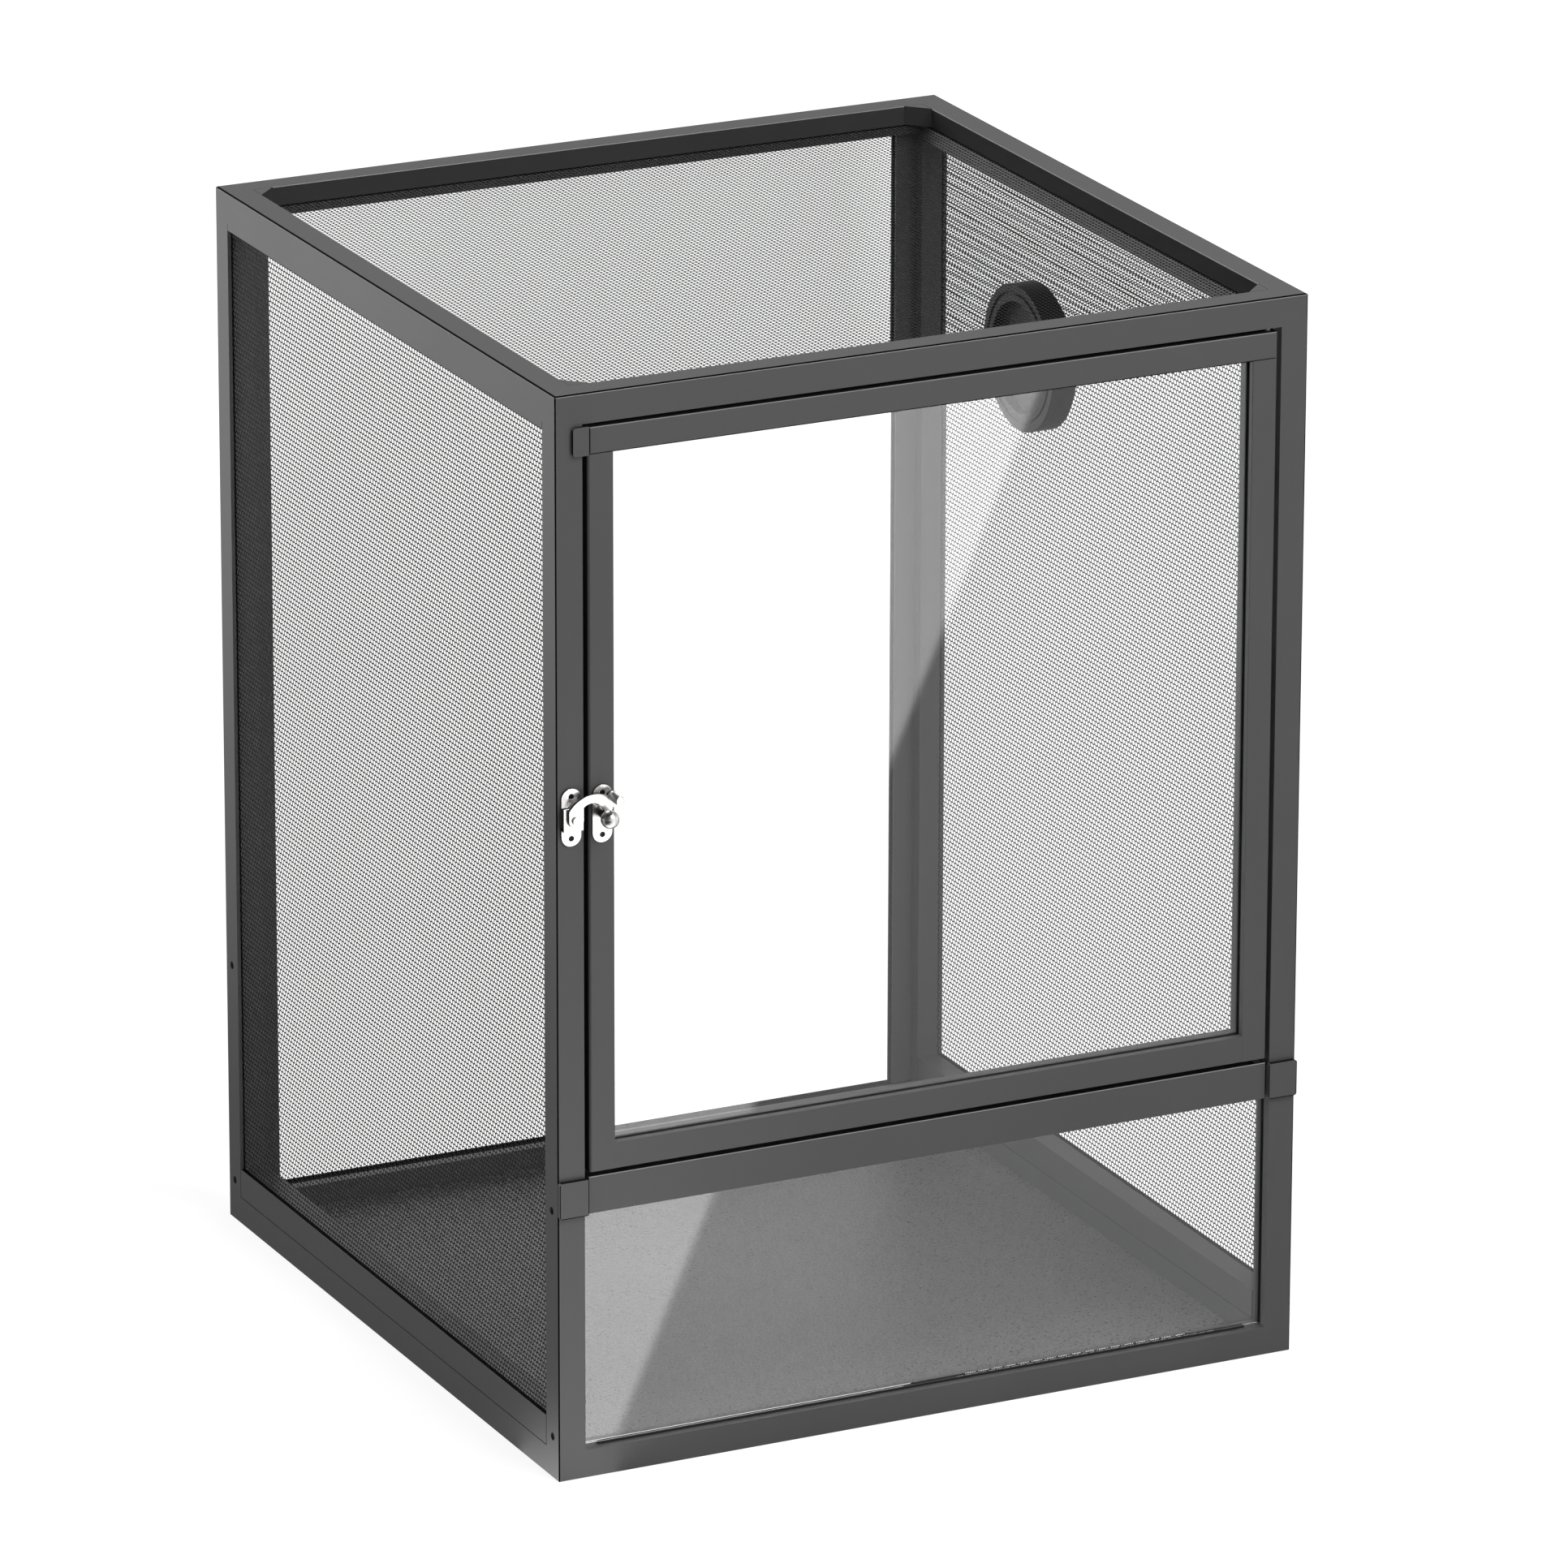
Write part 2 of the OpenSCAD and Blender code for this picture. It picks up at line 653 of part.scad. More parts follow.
// Full-width rail over the stiles, with the seats of the upper pin and of the end cap
module door_top_rail() {
  color("dimgray") difference() {
    at_door() difference() {
      translate([0, 0, door_h - stile_w]) linear_extrude(stile_w) {
        translate([door_r, 0]) square([door_w - 2 * door_r, door_t]);
        translate([0, door_r]) square([door_w, door_t - door_r]);
        for (x = [door_r, door_w - door_r]) translate([x, door_r]) circle(door_r);
      }
      door_groove();
      cap_plug(slot_gap);
    }
    translate([pin_x, pin_y, door_top - pin_depth]) cylinder(r = pin_r + turn_gap, h = pin_depth + eps);
  }
}
// Plug of the end cap, larger by g all round when it is cut from the rail
module cap_plug(g = 0) {
  y = (door_t - plug_w) / 2;
  z = door_h - stile_w + (stile_w - plug_w) / 2;
  span([-eps, y - g, z - g], [plug_l + g, y + plug_w + g, z + plug_w + g]);
}
module door_pane() {
  color("lightblue", 0.3) at_door()
    span([stile_w - pane_bite, door_pane_in, stile_w - pane_bite],
      [door_w - stile_w + pane_bite, door_pane_in + pane_t, door_h - stile_w + pane_bite]);
}
// Channel-shaped gasket round the whole pane
module door_pane_seal() {
  in = stile_w - pane_bite;
  color("black") at_door() difference() {
    span([in - seal_t, door_pane_in - seal_t, in - seal_t],
      [door_w - in + seal_t, door_pane_in + pane_t + seal_t, door_h - in + seal_t]);
    span([in, door_pane_in, in], [door_w - in, door_pane_in + pane_t, door_h - in]);
    span([stile_w, -eps, stile_w], [door_w - stile_w, door_t, door_h - stile_w]);
  }
}
// Cap on the top rail's left end: face plate, stem in the gap beside the post, and plug
module door_end_cap() {
  face_h = stile_w + cap_rise;
  stem_x = run_gap - door_side_gap + slot_gap;
  stem_z = door_h - stile_w + cap_r;
  post_y = door_proud - run_gap;
  color("dimgray") at_door() {
    translate([cap_lap - cap_w / 2, 0, door_h + cap_rise - face_h / 2])
      stand(cap_t) round_rect(cap_w, face_h, cap_r);
    translate([cap_lap - cap_w / 2, post_y, door_h + cap_rise - face_h / 2]) difference() {
      stand(post_y + cap_t / 2) round_rect(cap_w, face_h, cap_r);
      span([cap_w / 2 - cap_lap, -cap_t, -face_h], [cap_w, 2 * cap_t, face_h]);
    }
    span([stem_x, -cap_t / 2, stem_z], [0, door_t - 1, door_h - cap_r]);
    cap_plug();
  }
}

// Stadium-shaped plate outline with round ends
module latch_outline() {
  square([latch_w, latch_l - latch_w], center = true);
  for (s = [-1, 1]) translate([0, s * (latch_l - latch_w) / 2]) circle(latch_w / 2);
}
// Two points one above the other at the screws of a latch plate
module at_screws(x) {
  for (s = [-1, 1]) translate([x, 0, latch_z + s * latch_screw_gap / 2]) children();
}
// Shaft along Y from y towards the back
module shaft(y, r, l) { translate([0, y, 0]) rotate([-90, 0, 0]) cylinder(r = r, h = l); }

module latch_base_plate() {
  color("gainsboro") difference() {
    union() {
      translate([latch_x, front_y, latch_z]) stand(latch_t) latch_outline();
      translate([latch_x, front_y, pivot_z]) difference() {
        span([-latch_w / 2, -bridge_out, -bridge_h / 2], [latch_w / 2, 0, bridge_h / 2]);
        span([-latch_w, -bridge_out + latch_t, -bridge_h / 2 + latch_t],
          [latch_w, eps, bridge_h / 2 - latch_t]);
      }
    }
    span([latch_x - latch_w, front_y - latch_t - eps / 2, pivot_z - bridge_h / 2 + latch_t],
      [latch_x + latch_w, front_y + eps, pivot_z + bridge_h / 2 - latch_t]);
    at_screws(latch_x) shaft(front_y - latch_t - eps, screw_r + press_gap, latch_t + 2 * eps);
    translate([pivot_x, 0, pivot_z]) shaft(front_y - bridge_out - eps, rivet_r + press_gap, bridge_out + eps);
  }
}
module latch_screws() {
  color([0.1, 0.1, 0.1]) at_screws(latch_x) shaft(front_y - latch_t + screw_sink, screw_r, screw_l);
}
module latch_screw_holes() {
  at_screws(latch_x) shaft(front_y - eps, screw_r + press_gap, screw_l + eps);
}
// Rivet through the bridge and the hook's eye
module latch_rivet() {
  back = front_y - bridge_out + latch_t + rivet_tail;
  color("gainsboro") translate([pivot_x, 0, pivot_z]) {
    shaft(arm_face - slot_gap, rivet_r, back - arm_face + slot_gap);
    shaft(arm_face - slot_gap - rivet_head_t, rivet_head_r, rivet_head_t);
    shaft(back - rivet_tail, rivet_head_r, rivet_tail);
  }
}
// Flat outline of the hook, in X and Z
module arm_outline() {
  left = pivot_x - eye_r;
  right = pivot_x + eye_r;
  end_x = knob_x + knob_r / 2;
  nose_x = keeper_x + nose_out;
  nose_z = pivot_z + neck_r + nose_r;
  difference() {
    union() {
      translate([pivot_x, pivot_z]) circle(eye_r);
      intersection() {
        translate([hook_x + crest_shift, crest_z]) circle(crest_r);
        union() {
          translate([left, pivot_z]) square([right - left, far]);
          translate([right - eps, nose_z]) square([end_x - right + eps, far]);
        }
      }
      translate([nose_x, nose_z]) circle(nose_r);
      translate([knob_x, knob_z]) circle(knob_r + run_gap);
    }
    intersection() {
      translate([hook_x, hook_z]) circle(hook_r);
      translate([right, pivot_z - far]) square([far, 2 * far]);
    }
    translate([keeper_x, pivot_z]) circle(neck_r + run_gap);
    translate([pivot_x, pivot_z]) circle(rivet_r + turn_gap);
    translate([knob_x, knob_z]) circle(stem_r + press_gap);
  }
}
module latch_arm() { color("gainsboro") translate([0, arm_y, 0]) stand(arm_t) arm_outline(); }
// Thumb knob with its stem through the hook
module latch_knob() {
  color("gainsboro") translate([knob_x, 0, knob_z]) {
    shaft(arm_face - knob_l, knob_r, knob_l);
    shaft(arm_face - eps, stem_r, eps + arm_t);
  }
}

module keeper_plate() {
  color("gainsboro") difference() {
    translate([keeper_x, door_y, latch_z]) stand(latch_t) latch_outline();
    at_screws(keeper_x) shaft(keeper_y - eps, screw_r + press_gap, latch_t + 2 * eps);
    translate([keeper_x, 0, pivot_z]) shaft(keeper_y - eps, neck_r + press_gap, latch_t + 2 * eps);
  }
}
module keeper_screws() {
  color([0.1, 0.1, 0.1]) at_screws(keeper_x) shaft(keeper_y + screw_sink, screw_r, screw_l);
}
// Holes of the keeper's screws and stud in the door's stile
module keeper_holes() {
  at_screws(keeper_x) shaft(door_y - eps, screw_r + press_gap, screw_l + eps);
  translate([keeper_x, 0, pivot_z]) shaft(door_y - eps, neck_r + press_gap, stud_root + eps);
}
// Ball on a neck that the hook catches behind
module keeper_ball_stud() {
  color("gainsboro") translate([keeper_x, 0, pivot_z]) {
    translate([0, ball_y, 0]) sphere(ball_r);
    shaft(ball_y, neck_r, door_y + stud_root - ball_y);
  }
}

base_front_rail();
base_back_rail();
base_left_rail();
base_right_rail();
floor_panel();
front_left_post();
front_right_post();
back_left_post();
back_right_post();
left_sill();
right_sill();
front_header();
back_header();
left_header();
right_header();
crown_front_rail();
crown_back_rail();
crown_left_rail();
crown_right_rail();
crown_corner_gussets();
left_mesh();
right_mesh();
top_mesh();
back_left_channel();
back_right_channel();
back_pane();
back_pane_seal();
crossbar();
left_crossbar_connector();
right_crossbar_connector();
lower_pane();
lower_pane_seal();
lower_pane_rest();
port_flange();
port_membrane();
port_retaining_ring();
upper_hinge_pin();
lower_hinge_pin();
hinge_washer();
door_top_rail();
door_bottom_rail();
door_left_stile();
door_right_stile();
door_pane();
door_pane_seal();
door_end_cap();
latch_base_plate();
latch_screws();
latch_rivet();
latch_arm();
latch_knob();
keeper_plate();
keeper_screws();
keeper_ball_stud();
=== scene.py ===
"""A tall screen cage for reptiles: dark powder-coated frame, perforated screens, clear panes, glazed door.

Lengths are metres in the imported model's frame: +Z up, -Y towards the front, +X towards the hinges.
"""
import math

import bmesh
import bpy
from mathutils import Matrix, Vector


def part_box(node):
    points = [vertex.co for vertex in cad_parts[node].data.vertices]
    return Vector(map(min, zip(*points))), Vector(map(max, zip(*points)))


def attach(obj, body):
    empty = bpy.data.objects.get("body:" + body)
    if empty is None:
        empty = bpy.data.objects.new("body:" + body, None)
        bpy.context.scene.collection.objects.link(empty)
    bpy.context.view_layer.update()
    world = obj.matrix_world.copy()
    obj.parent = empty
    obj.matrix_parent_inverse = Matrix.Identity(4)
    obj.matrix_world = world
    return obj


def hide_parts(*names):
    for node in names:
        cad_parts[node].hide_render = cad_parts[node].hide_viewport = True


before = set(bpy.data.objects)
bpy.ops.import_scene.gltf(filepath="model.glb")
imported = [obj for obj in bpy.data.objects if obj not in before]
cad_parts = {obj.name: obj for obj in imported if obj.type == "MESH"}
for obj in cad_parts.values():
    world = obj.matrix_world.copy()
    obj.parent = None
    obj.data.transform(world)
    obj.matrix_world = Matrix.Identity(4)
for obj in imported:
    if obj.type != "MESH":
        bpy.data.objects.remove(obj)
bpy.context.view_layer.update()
MM = 0.001

# The camera stands far off, left of the front and a little above, so that upright edges stay almost parallel.
# The photograph's frame is square.
cage_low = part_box("base_front_rail")[0]
cage_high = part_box("crown_back_rail")[1]
cage_middle = (cage_low + cage_high) / 2

azimuth = math.radians(-26.0286)
elevation = math.radians(18.8343)
roll = math.radians(0.1493)
camera_distance = 6.3665
aim_right = 0.01762
aim_up = -0.00889

away = Vector((math.sin(azimuth) * math.cos(elevation), -math.cos(azimuth) * math.cos(elevation),
               math.sin(elevation)))
level_right = Vector((math.cos(azimuth), math.sin(azimuth), 0))
level_up = away.cross(level_right)
camera_right = level_right * math.cos(roll) + level_up * math.sin(roll)
camera_up = level_up * math.cos(roll) - level_right * math.sin(roll)
aim = cage_middle + level_right * aim_right + level_up * aim_up

camera_data = bpy.data.cameras.new("photo_camera")
camera_data.sensor_width = 36
camera_data.lens = 261.55
camera_data.clip_end = 50
camera = bpy.data.objects.new("photo_camera", camera_data)
camera.matrix_world = Matrix.Translation(aim + away * camera_distance) @ Matrix(
    (camera_right, camera_up, away)).transposed().to_4x4()
bpy.context.scene.collection.objects.link(camera)
bpy.context.scene.camera = camera
bpy.context.scene.view_settings.view_transform = "Standard"


# Shader maths in Python's own operators, for every material below.
# A Wire is a value that varies over a surface, and a Mixer holds the nodes that make and join such values.
class Wire:
    def __init__(self, mixer, socket):
        self.mixer = mixer
        self.socket = socket

    def math(self, operation, *others):
        return self.mixer.node("ShaderNodeMath", {"operation": operation}, dict(enumerate((self,) + others)))

    def __add__(self, other):
        return self.math("ADD", other)

    def __mul__(self, other):
        return self.math("MULTIPLY", other)

    def __sub__(self, other):
        return self.math("SUBTRACT", other)

    def __rsub__(self, other):
        return (self * -1) + other

    __radd__ = __add__
    __rmul__ = __mul__

    def ramp(self, start, end):
        """0 where the value is start, 1 where it is end, and level beyond them."""
        return self.mixer.node("ShaderNodeMapRange", {"clamp": True}, {"Value": self, 1: start, 2: end})


class Mixer:
    def __init__(self, tree):
        self.tree = tree

    def node(self, kind, settings, inputs, output=0):
        made = self.tree.nodes.new(kind)
        for key, value in settings.items():
            setattr(made, key, value)
        for key, value in inputs.items():
            if isinstance(value, Wire):
                self.tree.links.new(value.socket, made.inputs[key])
            else:
                made.inputs[key].default_value = value
        return Wire(self, made.outputs[output])

    def ray(self, question):
        """What kind of ray it is that looks, or how often it was bent or mirrored on its way."""
        return self.node("ShaderNodeLightPath", {}, {}, question)

    def mix_shaders(self, factor, low, high):
        return self.node("ShaderNodeMixShader", {}, {0: factor, 1: low, 2: high})

    def show(self, shader):
        end = next(node for node in self.tree.nodes if node.bl_idname.startswith("ShaderNodeOutput"))
        self.tree.links.new(shader.socket, end.inputs["Surface"])


class Paint(Mixer):
    def __init__(self, name, **fixed):
        self.material = bpy.data.materials.new(name)
        self.material.use_nodes = True
        super().__init__(self.material.node_tree)
        self.principled = self.tree.nodes["Principled BSDF"]
        self.shader = Wire(self, self.principled.outputs[0])
        for socket, value in fixed.items():
            self.principled.inputs[socket.replace("_", " ")].default_value = value
        self.place = self.node("ShaderNodeTexCoord", {}, {}, "Object")

    def noise(self, scale, detail=2.0, roughness=0.5):
        return self.node("ShaderNodeTexNoise", {}, {"Vector": self.place, "Scale": scale, "Detail": detail,
                                                    "Roughness": roughness})

    def blend(self, factor, dark, light):
        shades = {0: factor, 6: dark + (1,), 7: light + (1,)}
        return self.node("ShaderNodeMix", {"data_type": "RGBA"}, shades, 2)

    def bump(self, height, strength, distance):
        return self.node("ShaderNodeBump", {}, {"Height": height, "Strength": strength, "Distance": distance})

    def feed(self, **varying):
        for socket, wire in varying.items():
            self.tree.links.new(wire.socket, self.principled.inputs[socket.replace("_", " ")])
        return self.material


# Base rails: four mitred lengths of square aluminium profile, powder-coated in near-black.
# The coat is satin, with a fine grain and faint clouds. The cage's outer edges are narrow facets of painted
# shade, and at the top a second facet carries a painted highlight. Faces that look into a gap between pieces
# are painted shade.
def powder_coat(name, shade, gloss, glow=1.0):
    coat = Paint(name, Specular_IOR_Level=0.43 * glow)
    clouds = coat.noise(9.0, 3.0)
    grain = coat.noise(1500.0, 2.0, 0.7)
    dark, light = (tuple(c * share for c in shade) for share in (0.88, 1.12))
    return coat.feed(Base_Color=coat.blend(clouds, dark, light),
                     Roughness=grain * 0.12 + clouds * 0.06 + gloss,
                     Normal=coat.bump(grain, 0.4, 0.05 * MM))


frame_coat = powder_coat("frame_powder_coat", (0.058, 0.058, 0.060), 0.34)
# The other four coats are painted light: near-black painted shade for narrow lines, a light grey painted
# highlight, a darker painted shade for inner faces, and a near-black painted shade in the gaps.
painted_light_coats = [powder_coat("painted_shade_lines", (0.002, 0.002, 0.002), 0.6, glow=0.04),
               powder_coat("painted_highlight_lines", (0.22, 0.22, 0.223), 0.3),
               powder_coat("painted_shade_on_inner_faces", (0.040, 0.040, 0.041), 0.55, glow=0.06),
               powder_coat("painted_shade_in_the_gaps", (0.010, 0.010, 0.010), 0.6, glow=0.08)]
PLAIN, SHADED, PAINTED_HIGHLIGHT, INNER_SHADE, GAP_SHADE = range(5)
LEFT, RIGHT, FRONT, BACK, DOWN, UP = (Vector(way) for way in (
    (-1, 0, 0), (1, 0, 0), (0, -1, 0), (0, 1, 0), (0, 0, -1), (0, 0, 1)))
CLOSE = 0.01 * MM
base_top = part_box("base_front_rail")[1].z
crown_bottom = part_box("crown_back_rail")[0].z


def outer_facets():
    """Planes that cut off the cage's outer edges, each leaving a face of painted shade, painted highlight or
    plain coat.
    """
    sides = [(LEFT, -cage_low.x), (RIGHT, cage_high.x), (FRONT, -cage_low.y), (BACK, cage_high.y)]
    top = (UP, cage_high.z)
    foot = (DOWN, -cage_low.z)
    # Each step lies so many millimetres in from the first face, and so many from the second.
    jobs = [(side, top, [(1.1, 0), (0.1, 0.6), (0, 0.95)], (SHADED, PAINTED_HIGHLIGHT)) for side in sides]
    jobs += [(side, front, [(0, 0.45), (0.75, 0)], (SHADED,)) for side in sides[:2] for front in sides[2:]]
    jobs += [(side, foot, [(0.3, 0), (0, 0.3)], (PLAIN,)) for side in sides]
    facets = []
    for (first, first_at), (second, second_at), steps, tones in jobs:
        spots = [first * (first_at - a * MM) + second * (second_at - b * MM) for a, b in steps]
        for start, end, tone in zip(spots, spots[1:], tones):
            outward = (end - start).cross(first.cross(second)).normalized()
            if outward.dot(first + second) < 0:
                outward = -outward
            facets.append((start, outward, tone))
    return facets


cage_facets = outer_facets()


def cut(shape, spot, way, **options):
    return bmesh.ops.bisect_plane(shape, geom=shape.verts[:] + shape.edges[:] + shape.faces[:],
                                  plane_co=spot, plane_no=way, **options)


def merged_copy(node):
    """The node's mesh with its points merged, the cage's outer edges cut off and its flat faces made whole."""
    shape = bmesh.new()
    shape.from_mesh(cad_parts[node].data)
    bmesh.ops.remove_doubles(shape, verts=shape.verts, dist=0.002 * MM)
    on_outline = node.startswith(("base_", "crown_")) or node.endswith("_post")
    for start, outward, tone in cage_facets if on_outline else ():
        if max((v.co - start).dot(outward) for v in shape.verts) < CLOSE:
            continue
        opened = cut(shape, start, outward, dist=0.0005 * MM, clear_outer=True)
        rim = [e for e in opened["geom_cut"] if isinstance(e, bmesh.types.BMEdge)]
        bmesh.ops.edgeloop_fill(shape, edges=rim, mat_nr=tone)
    bmesh.ops.dissolve_limit(shape, angle_limit=math.radians(0.4), verts=shape.verts, edges=shape.edges,
                             delimit={"MATERIAL"})
    return shape


def runs_along(axis):
    """Picks the edges along a member, apart from those where it meets the next member unseen."""
    def pick(edge):
        run = edge.verts[1].co - edge.verts[0].co
        level = (edge.verts[0].co.z + edge.verts[1].co.z) / 2
        unseen = min(abs(level - base_top), abs(level - crown_bottom)) < CLOSE
        return abs(run[axis]) > 0.999 * run.length and not unseen
    return pick


def ease_edges(shape, width, segments=2, wanted=None, tone=PLAIN):
    """Rounds the sharp convex edges of plain faces."""
    edges = [e for e in shape.edges if len(e.link_faces) == 2
             and e.calc_face_angle_signed(0) > math.radians(35)
             and not any(f.material_index for f in e.link_faces) and (wanted is None or wanted(e))]
    eased = bmesh.ops.bevel(shape, geom=edges, affect="EDGES", offset=width, segments=segments, profile=0.5,
                            material=-1, clamp_overlap=True)
    for face in eased["faces"]:
        face.material_index = tone


def tone_faces(shape, facing, tone, outward=None, start=0):
    """Coats the faces that look one way, and of these only what lies beyond a plane where one is given."""
    if outward:
        cut(shape, outward * start, outward, dist=0.001 * MM)
    shape.normal_update()
    for face in shape.faces:
        beyond = outward is None or face.calc_center_median_weighted().dot(outward) > start
        if beyond and face.normal.dot(facing) > 0.95:
            face.material_index = tone


def make_piece(shape, node, body, material, ending="_coated", rounded=False):
    mesh = bpy.data.meshes.new(node + ending)
    shape.to_mesh(mesh)
    shape.free()
    for coat in [material] + (painted_light_coats if material == frame_coat else []):
        mesh.materials.append(coat)
    piece = bpy.data.objects.new(node + ending, mesh)
    bpy.context.scene.collection.objects.link(piece)
    if rounded:
        mesh.shade_smooth()
        mesh.set_sharp_from_angle(angle=math.radians(40))
        normals = piece.modifiers.new("flat_faces_stay_flat", "WEIGHTED_NORMAL")
        normals.keep_sharp = True
        normals.weight = 100
    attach(piece, body)
    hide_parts(node)
    return piece


def frame_piece(shape, node, body="cage"):
    return make_piece(shape, node, body, frame_coat)


def dressed_copy(node, body, material, width, segments=2, wanted=None, tone=PLAIN, rounded=False):
    shape = merged_copy(node)
    ease_edges(shape, width, segments, wanted, tone)
    return make_piece(shape, node, body, material, rounded=rounded)


edge_ease = 0.4 * MM
pane_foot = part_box("back_pane_seal")[0].y - 2.4 * MM
for node, axis in (("base_front_rail", 0), ("base_back_rail", 0),
                   ("base_left_rail", 1), ("base_right_rail", 1)):
    shape = merged_copy(node)
    ease_edges(shape, edge_ease, 2, runs_along(axis))
    # A strip of painted shade along the back rail's top, at the foot of the back pane.
    if node == "base_back_rail":
        tone_faces(shape, UP, SHADED, BACK, pane_foot)
    frame_piece(shape, node)

# Floor panel: one sheet let into the rails' grooves, coated darker and glossier than the frame.
# It mirrors the bright surroundings at a low angle, with a sandy sparkle from its grain.
floor_paint = Paint("floor_sheet_coat", Specular_IOR_Level=0.62)
sand = floor_paint.noise(600.0, 2.0, 0.7)
sparkle = sand.ramp(0.3, 0.7)
floor_clouds = floor_paint.noise(7.0, 2.0)
floor_coat = floor_paint.feed(
    Base_Color=floor_paint.blend(sparkle, (0.002, 0.002, 0.002), (0.15, 0.15, 0.152)),
    Roughness=sparkle * 0.25 + floor_clouds * 0.05 + 0.2,
    Normal=floor_paint.bump(sand, 1.0, 0.5 * MM))
dressed_copy("floor_panel", "cage", floor_coat, 0.2 * MM)

# Posts and headers: the upright profiles at the corners and the bars that join their heads.
# They carry the slots of the screens and panes. Front and back headers are welded flush, and the coat hides
# the joint, while the side headers are screwed in, and facets of painted shade run round their lowest few
# millimetres.
for corner in ("front_left", "front_right", "back_left", "back_right"):
    dressed_copy(corner + "_post", "cage", frame_coat, edge_ease, wanted=runs_along(2))
for bar in ("front_header", "back_header"):
    dressed_copy(bar, "cage", frame_coat, edge_ease, wanted=runs_along(0))
for bar in ("left_header", "right_header"):
    shape = merged_copy(bar)
    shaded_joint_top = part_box(bar)[0].z + 4 * MM
    cut(shape, UP * shaded_joint_top, UP, dist=0.001 * MM)
    # The facets of the lowest few millimetres are painted shade.
    ease_edges(shape, 0.35 * MM, 1, lambda e: max(v.co.z for v in e.verts) < shaded_joint_top + CLOSE, SHADED)
    frame_piece(shape, bar)

# Sills: flat bars on the side rails of the base, which hold the lower edges of the side screens in a groove.
# Every edge but the top ones is a narrow facet of painted shade, and the top face beside the screen is painted
# shade but for its rim.
groove_inside = 221.8 * MM
rim_inside = 224.6 * MM
for bar, outward in (("left_sill", LEFT), ("right_sill", RIGHT)):
    shape = merged_copy(bar)
    sill_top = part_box(bar)[1].z
    # Painted shade on the edge facets and on the top strip beside the screen.
    ease_edges(shape, 0.5 * MM, 1, lambda e: min(v.co.z for v in e.verts) < sill_top - CLOSE, SHADED)
    tone_faces(shape, UP, SHADED, outward, groove_inside)
    tone_faces(shape, UP, PLAIN, outward, rim_inside)
    frame_piece(shape, bar)

# Crown: four mitred rails that clamp the top screen, with a small gusset in each inner corner.
# Between the gussets the inner top edges carry a painted highlight, and the inner faces a darker painted shade.
gusset_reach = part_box("crown_corner_gussets")[1].x - 12 * MM
bright_half_length = 0.15


def crown_rail(node, axis):
    shape = merged_copy(node)
    way = (RIGHT, BACK)[axis]
    for end in (-1, 1):
        cut(shape, cage_middle + way * end * gusset_reach, way, dist=0.001 * MM)
    lengthwise = runs_along(axis)

    def between_gussets(edge):
        middle = (edge.verts[0].co + edge.verts[1].co) / 2
        central = abs(middle[axis] - cage_middle[axis]) < bright_half_length
        return lengthwise(edge) and middle.z > cage_high.z - CLOSE and central
    # A painted highlight on the inner top edges between the gussets, then darker painted shade on the inner
    # faces.
    ease_edges(shape, edge_ease, 2, between_gussets, PAINTED_HIGHLIGHT)
    for face in shape.faces:
        inwards = (cage_middle - face.calc_center_median())[1 - axis]
        if face.normal[1 - axis] * inwards > 0.9 * abs(inwards) and not face.material_index:
            face.material_index = INNER_SHADE
    frame_piece(shape, node)


for node, axis in (("crown_front_rail", 0), ("crown_back_rail", 0),
                   ("crown_left_rail", 1), ("crown_right_rail", 1)):
    crown_rail(node, axis)
# The gussets' edges are facets of painted shade, and their sides have the inner faces' darker painted shade.
gussets = dressed_copy("crown_corner_gussets", "cage", frame_coat, 0.2 * MM, 1, tone=SHADED)
for face in gussets.data.polygons:
    if abs(face.normal.z) < 0.5:
        face.material_index = INNER_SHADE

# Screens: thin steel sheet punched with staggered holes of under 3 mm, coated matte black.
# The webs between the holes are modelled, so that light and the view pass through each hole.
def grained_paint(name, scale, dark, light, swing, gloss, detail=2.0, **fixed):
    """A paint whose shade and gloss follow one grain."""
    paint = Paint(name, **fixed)
    grain = paint.noise(scale, detail)
    return paint.feed(Base_Color=paint.blend(grain, dark, light), Roughness=grain * swing + gloss)


screen_coat = grained_paint("screen_coat", 900.0, (0.005, 0.005, 0.005), (0.012, 0.012, 0.012), 0.15, 0.55,
                            Specular_IOR_Level=0.1)
hole_pitch = 3.36 * MM
row_pitch = 2.807 * MM
web = 0.90 * MM


